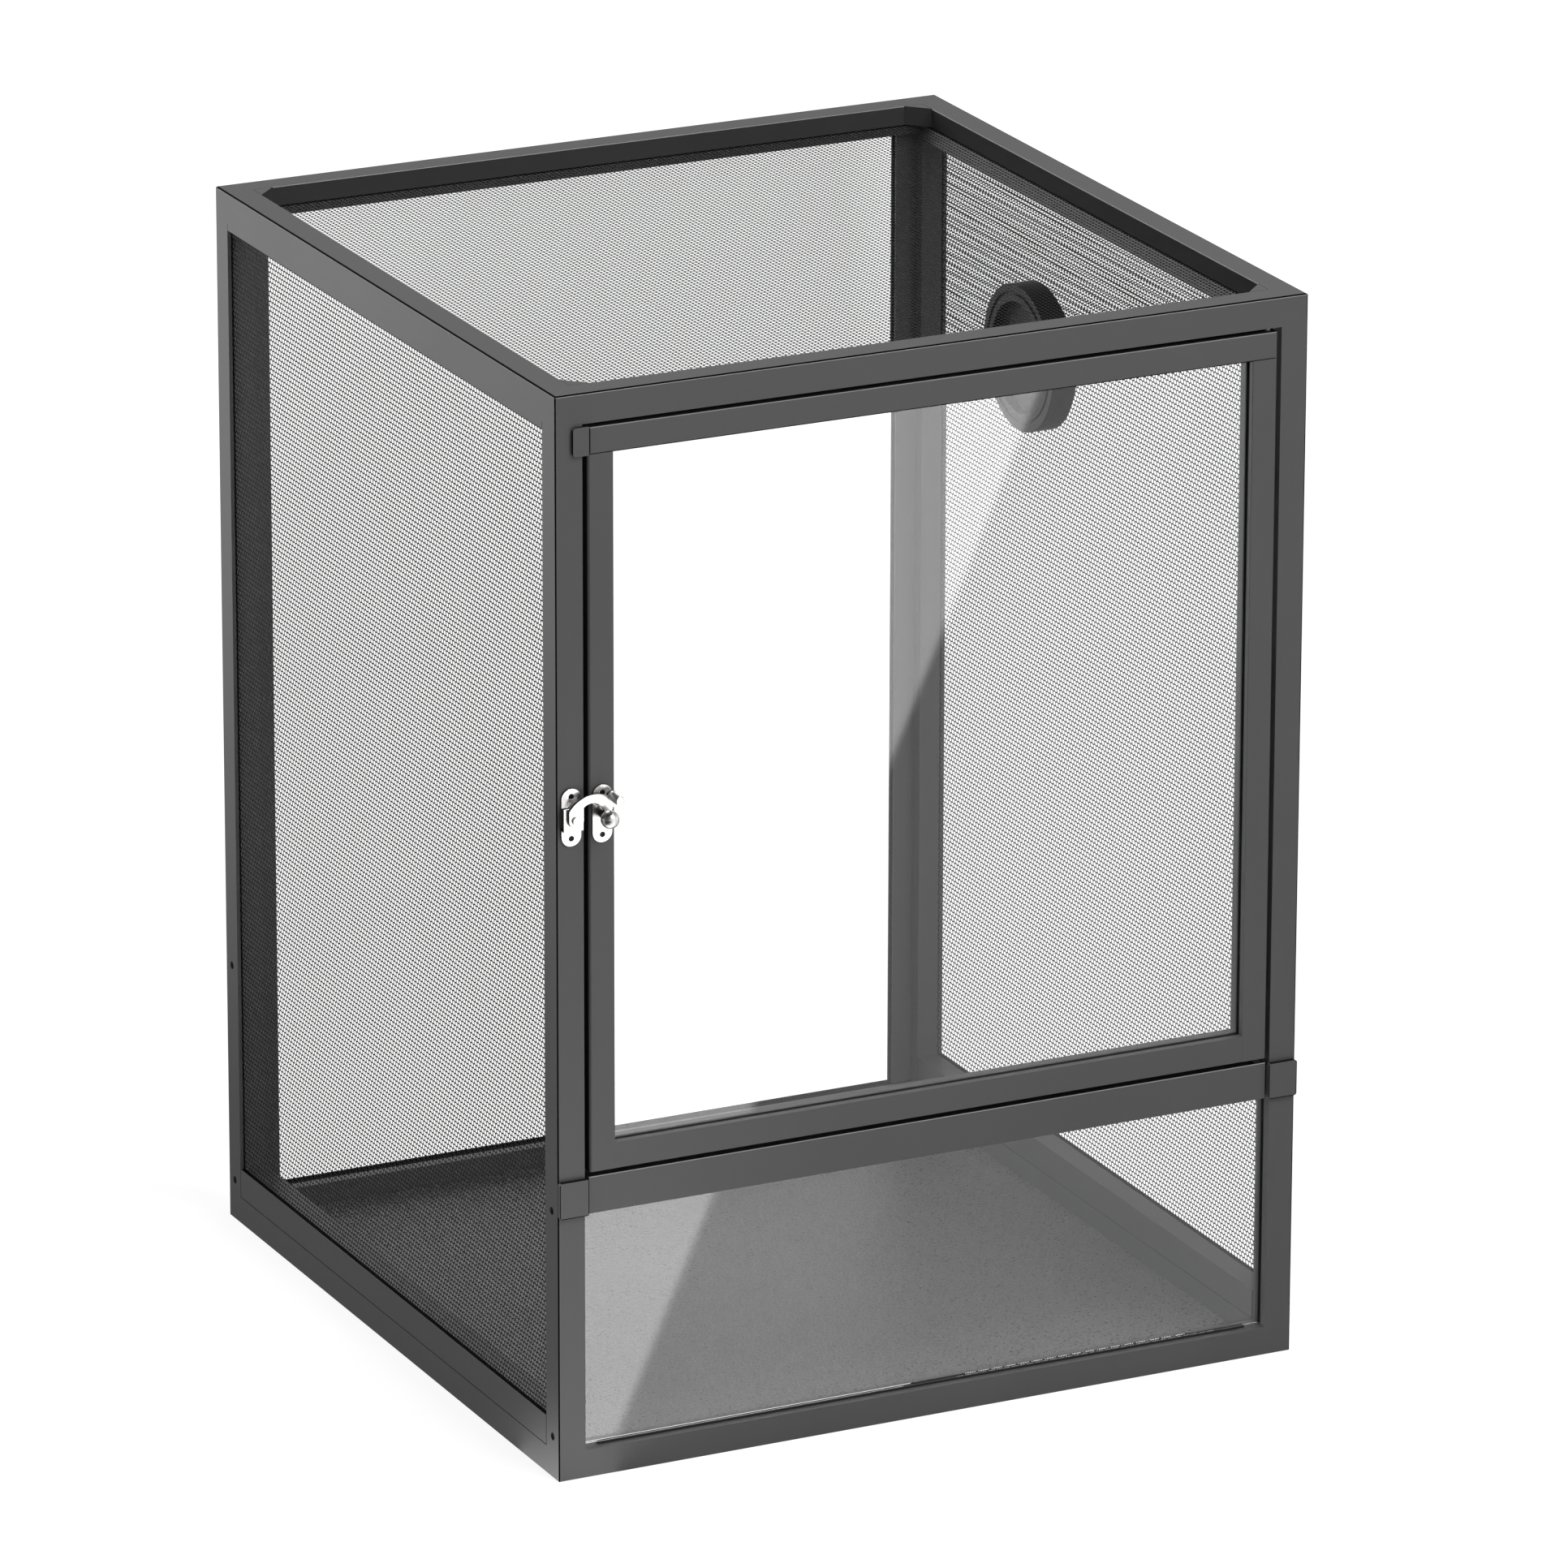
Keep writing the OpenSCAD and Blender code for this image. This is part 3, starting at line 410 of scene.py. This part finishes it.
def screen_sheet(width, height):
    """The webs of a flat honeycomb, centred in X and Y, one row of holes along X."""
    tip = row_pitch * 2 / 3
    shoulder = row_pitch / 3
    half = hole_pitch / 2
    thick = web / 2 / math.cos(math.atan((tip - shoulder) / half))
    cell = bmesh.new()
    for shift in ((0, 0), (half, row_pitch)):
        lower = [cell.verts.new((x + shift[0], y - thick + shift[1], 0))
                 for x, y in ((-half, shoulder), (0, tip), (half, shoulder))]
        upper = [cell.verts.new((x + shift[0], y + thick + shift[1], 0))
                 for x, y in ((-half, shoulder), (0, tip), (half, shoulder))]
        for i in (0, 1):
            cell.faces.new((lower[i], lower[i + 1], upper[i + 1], upper[i]))
        upright = [cell.verts.new((half + x * web / 2 + shift[0], y * (shoulder - thick) + shift[1], 0))
                   for x, y in ((-1, -1), (1, -1), (1, 1), (-1, 1))]
        cell.faces.new(upright)
    columns = math.ceil(width / hole_pitch)
    rows = math.ceil(height / row_pitch / 2)
    bmesh.ops.translate(cell, verts=cell.verts,
                        vec=(-(columns - 1) * hole_pitch / 2 - half / 2, -(rows - 0.5) * row_pitch, 0))
    mesh = bpy.data.meshes.new("screen_cell")
    cell.to_mesh(mesh)
    cell.free()
    seed = bpy.data.objects.new("screen_cell", mesh)
    bpy.context.scene.collection.objects.link(seed)
    for count, step in ((columns, (hole_pitch, 0, 0)), (rows, (0, 2 * row_pitch, 0))):
        array = seed.modifiers.new("repeat", "ARRAY")
        array.count = count
        array.use_relative_offset = False
        array.use_constant_offset = True
        array.constant_offset_displace = step
    sheet = bmesh.new()
    sheet.from_object(seed, bpy.context.evaluated_depsgraph_get())
    bpy.data.objects.remove(seed)
    return sheet


def lay_screen(node, place, width, height, hole_axis=None, hole_radius=0):
    low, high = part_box(node)
    sheet = screen_sheet(width, height)
    bmesh.ops.transform(sheet, matrix=Matrix.Translation((low + high) / 2) @ place, verts=sheet.verts)
    if hole_axis:
        inside = [v for v in sheet.verts
                  if math.hypot(v.co.y - hole_axis.y, v.co.z - hole_axis.z) < hole_radius]
        bmesh.ops.delete(sheet, geom=inside, context="VERTS")
    make_piece(sheet, node, "cage", screen_coat, "_sheet")


sill_low, sill_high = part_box("left_sill")
header_low, header_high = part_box("front_header")
opening_depth = sill_high.y - sill_low.y
opening_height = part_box("left_header")[0].z - sill_high.z
opening_width = header_high.x - header_low.x
upright_sheet = Matrix.Rotation(math.radians(90), 4, "Z") @ Matrix.Rotation(math.radians(90), 4, "X")
flange_low, flange_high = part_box("port_flange")
port_middle = (flange_low + flange_high) / 2
port_hole_radius = 38 * MM
lay_screen("left_mesh", upright_sheet, opening_depth, opening_height)
lay_screen("right_mesh", upright_sheet, opening_depth, opening_height, port_middle, port_hole_radius)
lay_screen("top_mesh", Matrix.Rotation(math.radians(90), 4, "Z"), opening_depth, opening_width)

# Back pane and its channels: clear glass in black rubber, held by slim channels beside the posts.
# Its index is set low, as for low-glare glass, so that the bright strip of the studio's floor isn't mirrored
# in it. The front panes have the index of float glass.
def clear_glass(name, bending):
    """Light reaches the inside straight through the pane, as it does through thin clear glass."""
    paint = Paint(name, Base_Color=(0.991, 0.993, 0.992, 1), IOR=bending, Transmission_Weight=1.0)
    material = paint.feed(Roughness=paint.noise(6.0, 3.0) * 0.012)
    open_way = paint.node("ShaderNodeBsdfTransparent", {}, {})
    paint.show(paint.mix_shaders(paint.ray("Is Shadow Ray"), paint.shader, open_way))
    return material


back_glass = clear_glass("clear_low_glare_glass", 1.15)
seal_rubber = grained_paint("black_seal_rubber", 700.0, (0.010, 0.010, 0.010), (0.018, 0.018, 0.018), 0.2, 0.55,
                            Specular_IOR_Level=0.3)
for side in ("left", "right"):
    dressed_copy(f"back_{side}_channel", "cage", frame_coat, 0.3 * MM)
dressed_copy("back_pane", "cage", back_glass, 0.3 * MM, 1)
dressed_copy("back_pane_seal", "cage", seal_rubber, 0.1 * MM, 1)

# Crossbar: a flat tube under the door, on a moulded connector at each post.
# A painted highlight runs along its front top edge, and its top face is painted shade. Each connector's plate
# has a fine outline of painted shade at its sides and bottom, and its top is painted shade as well.
bar_low, bar_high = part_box("crossbar")


def front_top_edge(edge):
    """The long edge at the top of the tube's front face."""
    near = 5 * CLOSE
    return all(abs(v.co.z - bar_high.z) < near and abs(v.co.y - bar_low.y) < near for v in edge.verts)


shape = merged_copy("crossbar")
# Painted highlight on the front top edge.
ease_edges(shape, 0.35 * MM, 1, front_top_edge, PAINTED_HIGHLIGHT)
ease_edges(shape, edge_ease, 2, lambda e: not front_top_edge(e))
# Painted shade on the top face.
tone_faces(shape, UP, GAP_SHADE)
frame_piece(shape, "crossbar")
outline_width = 0.45 * MM
for node in ("left_crossbar_connector", "right_crossbar_connector"):
    shape = merged_copy(node)
    plate_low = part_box(node)[0]
    plate_spots = [v.co.copy() for v in shape.verts if v.co.y < plate_low.y + 5 * CLOSE]
    # Painted shade round the plate's sides and bottom, and on its top.
    for way in (LEFT, RIGHT):
        tone_faces(shape, FRONT, SHADED, way, max(spot.dot(way) for spot in plate_spots) - outline_width)
    tone_faces(shape, FRONT, SHADED, DOWN, -plate_low.z - outline_width)
    tone_faces(shape, UP, GAP_SHADE)
    frame_piece(shape, node)

# Lower front pane: a fixed sheet of clear float glass below the crossbar.
# It stands on a black glazing strip and is held by rubber seals at the posts.
front_glass = clear_glass("clear_float_glass", 1.52)
dressed_copy("lower_pane", "cage", front_glass, 0.3 * MM, 1)
dressed_copy("lower_pane_seal", "cage", seal_rubber, 0.1 * MM, 1)
dressed_copy("lower_pane_rest", "cage", seal_rubber, 0.2 * MM, 1)

# Port: a moulded flange and a ring behind it, clamped through a round hole in the right screen.
# They are black plastic, and hold a slit rubber membrane for a cable or hose.
port_plastic = grained_paint("port_moulding", 1200.0, (0.004, 0.004, 0.004), (0.009, 0.009, 0.009), 0.15, 0.34,
                             Specular_IOR_Level=0.12)
dressed_copy("port_flange", "cage", port_plastic, 0.5 * MM, 3, rounded=True)
dressed_copy("port_retaining_ring", "cage", port_plastic, 0.4 * MM, rounded=True)
dressed_copy("port_membrane", "cage", seal_rubber, 0.1 * MM, 1)

# Hinges: two plain turned steel pins, fixed in the front header and in the crossbar.
# The door stands on a black plastic washer round the lower one.
turned_steel = grained_paint("turned_steel", 400.0, (0.42, 0.42, 0.42), (0.55, 0.55, 0.55), 0.1, 0.3,
                             Metallic=1.0)
for pin in ("upper_hinge_pin", "lower_hinge_pin"):
    dressed_copy(pin, "cage", turned_steel, 0.3 * MM, rounded=True)
dressed_copy("hinge_washer", "cage", port_plastic, 0.2 * MM, rounded=True)

# Door: a frame of four bars round a clear pane in a black gasket, with a moulded cap on its top left end.
# The top rail has a painted highlight along its upper edge and painted shade along its lower edge, over the
# stiles.
# Faces that look into the gaps round the door are painted shade: the top rail's top, the stiles' outer sides
# and the end cap's top and left side. The cap's front has a line of painted shade at its right end.
line_width = 0.5 * MM
cap_line_width = 0.7 * MM
rail_low, rail_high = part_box("door_top_rail")
shape = merged_copy("door_top_rail")
# Painted highlight along the upper edge, painted shade along the lower edge and on the top face.
tone_faces(shape, FRONT, PAINTED_HIGHLIGHT, UP, rail_high.z - line_width)
tone_faces(shape, FRONT, SHADED, DOWN, -rail_low.z - line_width)
tone_faces(shape, UP, GAP_SHADE)
frame_piece(shape, "door_top_rail", "door")
dressed_copy("door_bottom_rail", "door", frame_coat, 0.15 * MM, 1, runs_along(0))
for stile, outward in (("door_left_stile", LEFT), ("door_right_stile", RIGHT)):
    shape = merged_copy(stile)
    ease_edges(shape, edge_ease, 2, runs_along(2))
    # Painted shade on the outer side.
    tone_faces(shape, outward, GAP_SHADE)
    frame_piece(shape, stile, "door")
shape = merged_copy("door_end_cap")
cap_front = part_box("door_end_cap")[0].y
cap_right = max(v.co.x for v in shape.verts if v.co.y < cap_front + 5 * CLOSE)
# Painted shade at the cap's right end, on its top and on its left side.
tone_faces(shape, FRONT, SHADED, RIGHT, cap_right - cap_line_width)
tone_faces(shape, UP, GAP_SHADE)
tone_faces(shape, LEFT, GAP_SHADE)
frame_piece(shape, "door_end_cap", "door")
dressed_copy("door_pane", "door", front_glass, 0.3 * MM, 1)
dressed_copy("door_pane_seal", "door", seal_rubber, 0.1 * MM, 1)

# Latch: two stamped plates, a swing hook on a rivet and a turned ball stud, all bright nickel on steel.
# The sides of the stamped parts and the stud's shank are painted near-black, a painted shade and dark
# reflection of their surroundings. The screws are blackened.
bright_nickel = grained_paint("bright_nickel", 60.0, (0.78, 0.77, 0.76), (0.86, 0.85, 0.84), 0.08, 0.20,
                              detail=3.0, Metallic=1.0)
screw_black = grained_paint("blackened_screw", 500.0, (0.012, 0.012, 0.012), (0.03, 0.03, 0.03), 0.1, 0.35,
                            Metallic=1.0)
nickel_side_shade = grained_paint("nickel_sides_in_painted_shade", 500.0, (0.006, 0.006, 0.006), (0.02, 0.02, 0.02), 0.2, 0.4,
                              Specular_IOR_Level=0.2)
POLISHED, SIDE_SHADE = 0, 1


def stamped_part(node, body, width):
    shape = merged_copy(node)
    ease_edges(shape, width)
    shape.normal_update()
    # Faces that don't look forwards or backwards get the painted shade.
    for face in shape.faces:
        face.material_index = SIDE_SHADE if abs(face.normal.y) < 0.5 else POLISHED
    part = make_piece(shape, node, body, bright_nickel, "_stamped", rounded=True)
    part.data.materials.append(nickel_side_shade)


stamped_part("latch_base_plate", "cage", 0.12 * MM)
stamped_part("keeper_plate", "door", 0.12 * MM)
stamped_part("latch_arm", "hook", 0.18 * MM)
dressed_copy("latch_rivet", "cage", bright_nickel, 0.3 * MM, 2, rounded=True)
dressed_copy("latch_knob", "hook", bright_nickel, 0.9 * MM, 4, rounded=True)
dressed_copy("latch_screws", "cage", screw_black, 0.2 * MM, 1)
dressed_copy("keeper_screws", "door", screw_black, 0.2 * MM, 1)


def ball_stud():
    """One outline turned round the stud's axis: the ball in front, then the shank down to the plate."""
    low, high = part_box("keeper_ball_stud")
    middle = (low + high) / 2
    radius = (high.z - low.z) / 2
    centre_y = low.y + radius
    neck = 2.0 * MM
    neck_start = high.y - 4.4 * MM
    outline = [(centre_y - radius * math.cos(a), radius * math.sin(a))
               for a in (math.radians(t) for t in range(0, 151, 10))]
    outline += [(centre_y + radius * 1.02, neck * 1.05), (neck_start, neck), (high.y, neck), (high.y, 0)]
    stud = bmesh.new()
    chain = [stud.verts.new((middle.x, y, middle.z + r)) for y, r in outline]
    edges = [stud.edges.new(pair) for pair in zip(chain, chain[1:])]
    bmesh.ops.spin(stud, geom=chain + edges, cent=(middle.x, 0, middle.z), axis=(0, 1, 0),
                   angle=math.tau, steps=40, use_merge=True)
    bmesh.ops.remove_doubles(stud, verts=stud.verts, dist=0.001 * MM)
    bmesh.ops.recalc_face_normals(stud, faces=stud.faces)
    shank_start = centre_y + radius * 0.9
    # The shank gets the painted shade.
    for face in stud.faces:
        face.material_index = SIDE_SHADE if face.calc_center_median().y > shank_start else POLISHED
    part = make_piece(stud, "keeper_ball_stud", "door", bright_nickel, "_turned", rounded=True)
    part.data.materials.append(nickel_side_shade)


ball_stud()

# Studio: a pale floor in white surroundings, with soft light from the front and above, and weaker from the
# left and behind. Gloss sees a white room with a dark ceiling and a dim left side, a grey floor near the cage,
# and one bright strip of floor in front, whose edge is the slanted line in the panes.
WHITE = (1, 1, 1, 1)
white_through_glass = 1.12


def show_by_ray(mixer, to_eye, to_soft_light, in_gloss, in_glass, glow):
    """The eye and soft light each see a shader, while gloss and glass see white of a given strength.

    A ray that was only bent has as many transmissions as steps, and a mirrored one has more steps.
    """
    through = mixer.ray("Is Transmission Ray")
    mirrored = (mixer.ray("Ray Depth") - mixer.ray("Transmission Depth")).ramp(0.2, 0.8)
    straight = through * (1 - mirrored)
    strength = in_gloss * (1 - straight) + straight * in_glass
    white = mixer.node(glow, {}, {"Color": WHITE, "Strength": strength})
    sharp = mixer.ray("Is Glossy Ray").math("MAXIMUM", through)
    unseen = mixer.mix_shaders(sharp, to_soft_light, white)
    mixer.show(mixer.mix_shaders(mixer.ray("Is Camera Ray"), unseen, to_eye))


ground_mesh = bpy.data.meshes.new("ground")
ground_shape = bmesh.new()
bmesh.ops.create_grid(ground_shape, x_segments=1, y_segments=1, size=8)
ground_shape.to_mesh(ground_mesh)
ground_shape.free()
ground = bpy.data.objects.new("ground", ground_mesh)
bpy.context.scene.collection.objects.link(ground)

ground_paint = Paint("pale_floor", Base_Color=(0.8, 0.8, 0.8, 1), Roughness=0.7)
across = ground_paint.node("ShaderNodeSeparateXYZ", {}, {"Vector": ground_paint.place}, "X")
along = ground_paint.node("ShaderNodeSeparateXYZ", {}, {"Vector": ground_paint.place}, "Y")

# The bright strip lies to one side of a line through this point, and this is the way across it.
strip_point = (0.037, -0.567)
strip_way = (-0.831, -0.556)
beside_line = (across - strip_point[0]) * strip_way[0] + (along - strip_point[1]) * strip_way[1]
strip = beside_line.ramp(-0.008, -0.003) * beside_line.ramp(0.2, 0.16)
right_of_left_side = across.ramp(-0.65, -0.3) * 0.95 + 0.05
strip_glow = 2.25
front_floor_glow = 0.85
floor_seen_in_front = (strip * strip_glow + front_floor_glow) * right_of_left_side
floor_seen_behind = along.ramp(0.45, 1.9) * 1.6 + 0.35
in_front = along.ramp(-0.1, -0.25)
floor_in_gloss = in_front * floor_seen_in_front + (1 - in_front) * floor_seen_behind

# To the eye the floor glows a little less near the cage, and takes a faint shadow.
from_cage = ground_paint.node("ShaderNodeVectorMath", {"operation": "LENGTH"}, {0: ground_paint.place}, "Value")
glow_to_eye = from_cage.ramp(0.7, 1.8) * 0.14 + 0.86
faint_floor = ground_paint.node("ShaderNodeBsdfDiffuse", {}, {"Color": (0.25, 0.25, 0.25, 1)})
floor_glow = ground_paint.node("ShaderNodeEmission", {}, {"Color": WHITE, "Strength": glow_to_eye})
floor_to_eye = ground_paint.node("ShaderNodeAddShader", {}, {0: faint_floor, 1: floor_glow})

# Glass dims what lies behind it, so the white there is a little stronger. Floor seen through the back pane
# alone is plain white: it lies left of the photograph's line of sight past the pane's right end.
pane_end_x, pane_end_y, sight_slope = 0.21, 0.228, 0.48
behind_back_pane = ((across - pane_end_x) - (along - pane_end_y) * sight_slope).ramp(0.02, -0.02)
one_pane = ground_paint.ray("Transmission Depth").ramp(3.2, 2.8)
floor_in_glass = white_through_glass - behind_back_pane * one_pane * (white_through_glass - 1)
show_by_ray(ground_paint, floor_to_eye, ground_paint.shader, floor_in_gloss, floor_in_glass,
            "ShaderNodeEmission")
ground_mesh.materials.append(ground_paint.material)

world = bpy.data.worlds.new("white_studio")
bpy.context.scene.world = world
world.use_nodes = True
sky = Mixer(world.node_tree)
toward = sky.node("ShaderNodeTexCoord", {}, {}, "Generated")
upward = sky.node("ShaderNodeSeparateXYZ", {}, {"Vector": toward}, "Z")
rightward = sky.node("ShaderNodeSeparateXYZ", {}, {"Vector": toward}, "X")
wall_in_gloss = upward.ramp(0.9, 0.1) * 1.12 * (rightward.ramp(-0.7, 0) * 0.9 + 0.1)
room_light = sky.node("ShaderNodeBackground", {}, {"Color": WHITE, "Strength": 0.22})
white_wall = sky.node("ShaderNodeBackground", {}, {"Color": WHITE, "Strength": 1.0})
show_by_ray(sky, white_wall, room_light, wall_in_gloss, white_through_glass, "ShaderNodeBackground")


def soft_lamp(name, place, target, width, height, energy, mirrored=True):
    data = bpy.data.lights.new(name, "AREA")
    data.shape = "RECTANGLE"
    data.size = width
    data.size_y = height
    data.energy = energy
    lamp = bpy.data.objects.new(name, data)
    turn = (Vector(place) - Vector(target)).to_track_quat("Z", "Y").to_matrix().to_4x4()
    lamp.matrix_world = Matrix.Translation(place) @ turn
    lamp.visible_glossy = mirrored
    bpy.context.scene.collection.objects.link(lamp)


soft_lamp("front_light", place=(0.5, -1.65, 1.95), target=(0, 0, 0.3), width=1.2, height=1.2, energy=41)
soft_lamp("back_light", place=(-0.8, 1.9, 1.2), target=(0, 0, 0.3), width=1.2, height=0.9, energy=18)

# This one lights the left side and the inside of the right post, and doesn't show in gloss.
soft_lamp("left_light", place=(-2.2, -0.4, 0.25), target=(-0.2, 0, 0.3), width=1.6, height=0.5, energy=9.5,
          mirrored=False)
